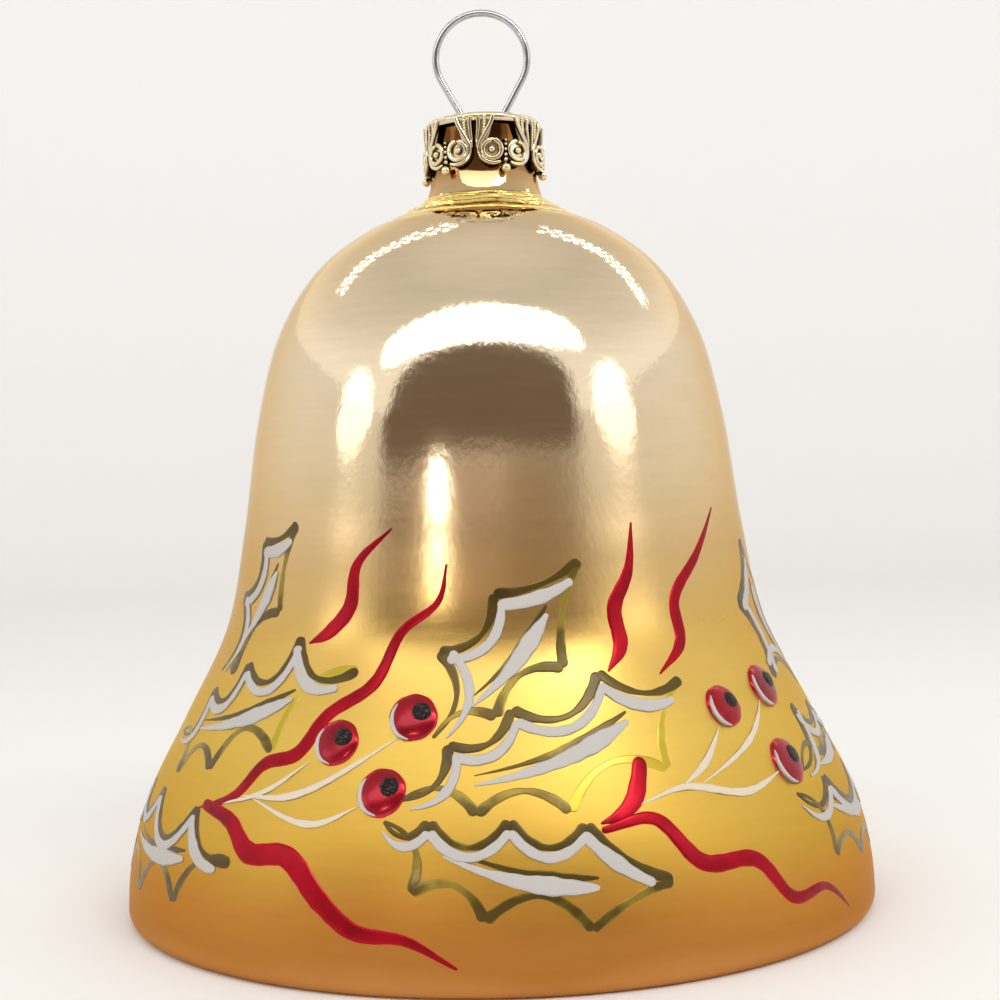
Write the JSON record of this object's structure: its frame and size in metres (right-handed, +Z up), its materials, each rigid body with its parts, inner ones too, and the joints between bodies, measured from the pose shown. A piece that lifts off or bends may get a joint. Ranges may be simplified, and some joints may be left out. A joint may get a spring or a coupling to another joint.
{
  "type": "bell ornament",
  "caption": "Hanging bell ornament of silvered, gold-lacquered blown glass with painted holly, a pierced crown cap, a wire hanger and a swinging bead clapper.",
  "frame": {"origin": "centre of the circle that the rim stands on", "axes": "+Z up through the neck, along the bell's axis; front faces -Y; the hanger's loop lies in the XZ plane, with +X to the right of the front view"},
  "size_m": [0.07, 0.07, 0.0849],
  "materials": {
    "gold_lacquered_glass": "silvered inside, gold lacquer outside, gloss on the dome and satin on the skirt",
    "silvered_glass": "silvered, uncoated",
    "stamped_brass": "stamped, bright gold wash",
    "spring_steel": "drawn, bright",
    "brass_wire": "drawn, bright",
    "lacquered_bead": "gold lacquered, gloss"
  },
  "bodies": {
    "bell": {"glass_bell": "gold_lacquered_glass", "drawn_in_bottom": "silvered_glass", "clapper_eye": "silvered_glass"},
    "cap": {"crown_cap": "stamped_brass"},
    "hanger": {"hanger_wire": "spring_steel"},
    "link": {"clapper_link": "brass_wire"},
    "clapper": {"clapper_wire": "brass_wire", "clapper_bead": "lacquered_bead"}
  },
  "joints": [
    {"name": "cap_lift", "type": "slide", "parent": "bell", "child": "cap", "axis": [0, 0, 1], "range_m": [0, 0.015]},
    {"name": "hanger_rock", "type": "hinge", "parent": "cap", "child": "hanger", "pos_m": [0, 0, 0.0737], "axis": [1, 0, 0], "range_deg": [-5, 5]},
    {"name": "link_swing", "type": "hinge", "parent": "bell", "child": "link", "pos_m": [0, 0, 0.029], "axis": [1, 0, 0], "range_deg": [-35, 35]},
    {"name": "clapper_swing", "type": "hinge", "parent": "link", "child": "clapper", "pos_m": [0, 0, 0.02612], "axis": [0, 1, 0], "range_deg": [-35, 35]}
  ]
}
